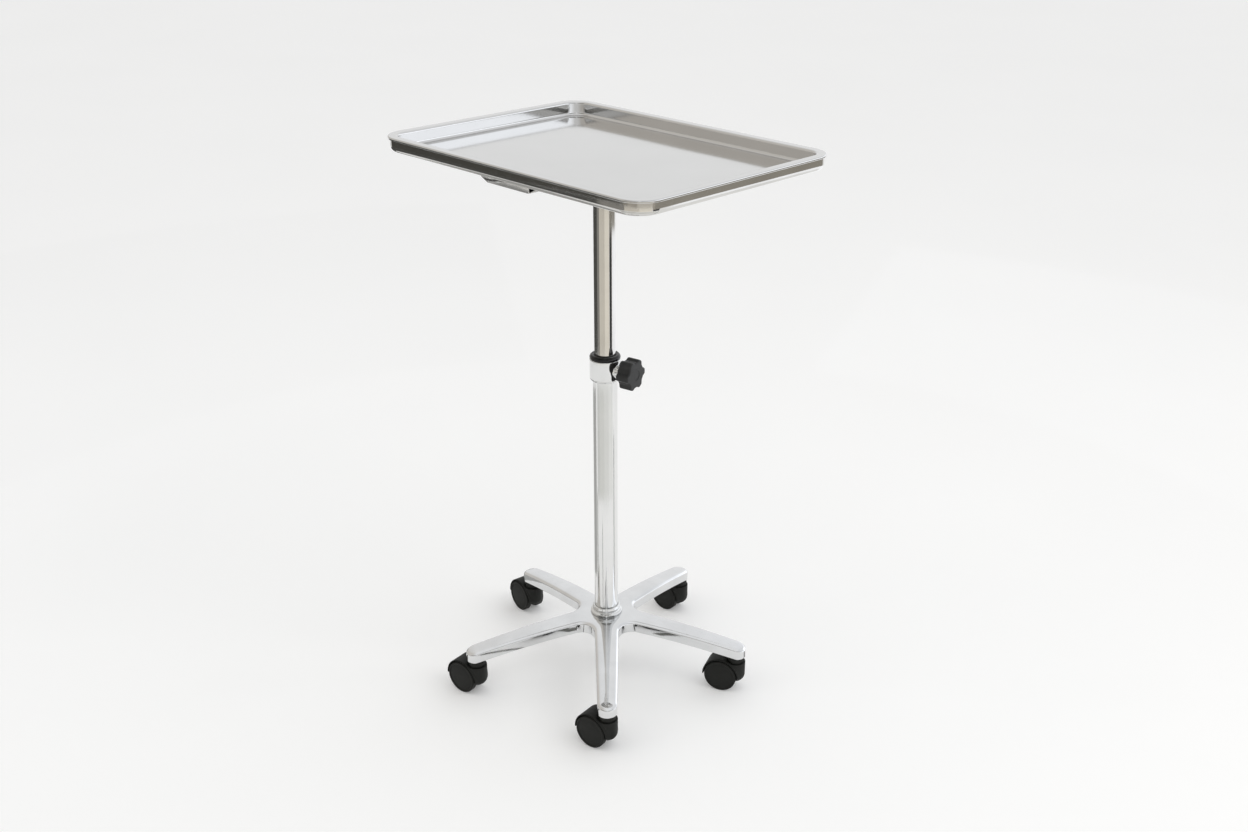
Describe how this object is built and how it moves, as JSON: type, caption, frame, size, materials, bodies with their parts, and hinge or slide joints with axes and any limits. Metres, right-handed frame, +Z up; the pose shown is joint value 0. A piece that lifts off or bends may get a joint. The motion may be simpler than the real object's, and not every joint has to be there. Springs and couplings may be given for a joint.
{
  "type": "instrument cart",
  "caption": "Height-adjustable instrument stand: lift-out rectangular steel tray on a telescopic mast with a star clamp knob and a five-arm swivel castor base.",
  "frame": {"origin": "on the floor, on the mast's axis", "axes": "+Z up along the mast, -Y along the front arm, +X to the right seen from the front"},
  "size_m": [0.5738, 0.5756, 0.817],
  "materials": {
    "satin_tray": "satin stainless steel, fine grain",
    "satin_steel": "satin stainless steel",
    "polished_steel": "polished stainless steel",
    "chrome_tube": "bright chrome tube",
    "chrome_trim": "bright chrome trim",
    "polished_aluminium": "polished die-cast aluminium",
    "zinc_steel": "zinc-plated steel",
    "black_nylon": "black moulded nylon, fine matte texture",
    "wheel_tread": "black moulded wheel",
    "black_bush": "glossy black plastic",
    "grey_knob": "dark grey moulded plastic",
    "white_nylon": "natural nylon"
  },
  "bodies": {
    "root": {"star_base": "polished_aluminium", "hub_ring": "chrome_trim", "foot_plug": "zinc_steel", "base_washer": "zinc_steel", "base_bolt": "zinc_steel", "outer_tube": "chrome_tube", "clamp_collar": "chrome_trim", "guide_bush": "black_bush", "castor_1_neck": "black_nylon", "castor_1_stem": "zinc_steel", "castor_2_neck": "black_nylon", "castor_2_stem": "zinc_steel", "castor_3_neck": "black_nylon", "castor_3_stem": "zinc_steel", "castor_4_neck": "black_nylon", "castor_4_stem": "zinc_steel", "castor_5_neck": "black_nylon", "castor_5_stem": "zinc_steel"},
    "castor_1": {"castor_1_hood": "black_nylon", "castor_1_axle": "zinc_steel"},
    "castor_1_wheel_left": {"castor_1_wheel_left": "wheel_tread"},
    "castor_1_wheel_right": {"castor_1_wheel_right": "wheel_tread"},
    "castor_2": {"castor_2_hood": "black_nylon", "castor_2_axle": "zinc_steel"},
    "castor_2_wheel_left": {"castor_2_wheel_left": "wheel_tread"},
    "castor_2_wheel_right": {"castor_2_wheel_right": "wheel_tread"},
    "castor_3": {"castor_3_hood": "black_nylon", "castor_3_axle": "zinc_steel"},
    "castor_3_wheel_left": {"castor_3_wheel_left": "wheel_tread"},
    "castor_3_wheel_right": {"castor_3_wheel_right": "wheel_tread"},
    "castor_4": {"castor_4_hood": "black_nylon", "castor_4_axle": "zinc_steel"},
    "castor_4_wheel_left": {"castor_4_wheel_left": "wheel_tread"},
    "castor_4_wheel_right": {"castor_4_wheel_right": "wheel_tread"},
    "castor_5": {"castor_5_hood": "black_nylon", "castor_5_axle": "zinc_steel"},
    "castor_5_wheel_left": {"castor_5_wheel_left": "wheel_tread"},
    "castor_5_wheel_right": {"castor_5_wheel_right": "wheel_tread"},
    "mast_guide": {"guide_plug": "white_nylon"},
    "mast": {"inner_tube": "polished_steel", "mast_head": "polished_steel", "tray_bracket": "satin_steel", "tray_frame": "polished_steel", "bracket_screw_1": "zinc_steel", "bracket_screw_2": "zinc_steel", "bracket_screw_3": "zinc_steel", "bracket_screw_4": "zinc_steel"},
    "tray": {"tray": "satin_tray"},
    "clamp_pad": {"clamp_pad": "white_nylon"},
    "clamp_knob": {"clamp_knob": "grey_knob", "clamp_stud": "zinc_steel"}
  },
  "joints": [
    {"name": "mast_height", "type": "slide", "parent": "root", "child": "mast_guide", "axis": [0, 0, 1], "range_m": [-0.02, 0.27]},
    {"name": "mast_turn", "type": "hinge", "parent": "mast_guide", "child": "mast", "pos_m": [0, 0, 0.5], "axis": [0, 0, 1], "continuous": true},
    {"name": "tray_lift", "type": "slide", "parent": "mast", "child": "tray", "axis": [0, 0, 1], "range_m": [0, 0.08]},
    {"name": "clamp_feed", "type": "slide", "parent": "root", "child": "clamp_pad", "axis": [0.8192, -0.5736, 0], "range_m": [0, 0.0026]},
    {"name": "clamp_turn", "type": "hinge", "parent": "clamp_pad", "child": "clamp_knob", "pos_m": [0, 0, 0.501], "axis": [0.8192, -0.5736, 0], "range_deg": [0, 720]},
    {"name": "castor_1_swivel", "type": "hinge", "parent": "root", "child": "castor_1", "pos_m": [0, -0.205, 0.04], "axis": [0, 0, 1], "continuous": true},
    {"name": "castor_1_left_roll", "type": "hinge", "parent": "castor_1", "child": "castor_1_wheel_left", "pos_m": [-0.01526, -0.19286, 0.025], "axis": [-0.6225, -0.7826, 0], "continuous": true},
    {"name": "castor_1_right_roll", "type": "hinge", "parent": "castor_1", "child": "castor_1_wheel_right", "pos_m": [-0.01526, -0.19286, 0.025], "axis": [-0.6225, -0.7826, 0], "continuous": true},
    {"name": "castor_2_swivel", "type": "hinge", "parent": "root", "child": "castor_2", "pos_m": [0.19497, -0.06335, 0.04], "axis": [0, 0, 1], "continuous": true},
    {"name": "castor_2_left_roll", "type": "hinge", "parent": "castor_2", "child": "castor_2_wheel_left", "pos_m": [0.17695, -0.05589, 0.025], "axis": [-0.3827, -0.9239, 0], "continuous": true},
    {"name": "castor_2_right_roll", "type": "hinge", "parent": "castor_2", "child": "castor_2_wheel_right", "pos_m": [0.17695, -0.05589, 0.025], "axis": [-0.3827, -0.9239, 0], "continuous": true},
    {"name": "castor_3_swivel", "type": "hinge", "parent": "root", "child": "castor_3", "pos_m": [0.1205, 0.16585, 0.04], "axis": [0, 0, 1], "continuous": true},
    {"name": "castor_3_left_roll", "type": "hinge", "parent": "castor_3", "child": "castor_3_wheel_left", "pos_m": [0.10612, 0.17902, 0.025], "axis": [-0.6756, -0.7373, 0], "continuous": true},
    {"name": "castor_3_right_roll", "type": "hinge", "parent": "castor_3", "child": "castor_3_wheel_right", "pos_m": [0.10612, 0.17902, 0.025], "axis": [-0.6756, -0.7373, 0], "continuous": true},
    {"name": "castor_4_swivel", "type": "hinge", "parent": "root", "child": "castor_4", "pos_m": [-0.1205, 0.16585, 0.04], "axis": [0, 0, 1], "continuous": true},
    {"name": "castor_4_left_roll", "type": "hinge", "parent": "castor_4", "child": "castor_4_wheel_left", "pos_m": [-0.13209, 0.18152, 0.025], "axis": [-0.8039, -0.5948, 0], "continuous": true},
    {"name": "castor_4_right_roll", "type": "hinge", "parent": "castor_4", "child": "castor_4_wheel_right", "pos_m": [-0.13209, 0.18152, 0.025], "axis": [-0.8039, -0.5948, 0], "continuous": true},
    {"name": "castor_5_swivel", "type": "hinge", "parent": "root", "child": "castor_5", "pos_m": [-0.19497, -0.06335, 0.04], "axis": [0, 0, 1], "continuous": true},
    {"name": "castor_5_left_roll", "type": "hinge", "parent": "castor_5", "child": "castor_5_wheel_left", "pos_m": [-0.21023, -0.05121, 0.025], "axis": [-0.6225, -0.7826, 0], "continuous": true},
    {"name": "castor_5_right_roll", "type": "hinge", "parent": "castor_5", "child": "castor_5_wheel_right", "pos_m": [-0.21023, -0.05121, 0.025], "axis": [-0.6225, -0.7826, 0], "continuous": true}
  ],
  "couplings": [
    {"joint": "clamp_feed", "follows": "clamp_turn", "m_per_rad": 0.00019894}
  ]
}
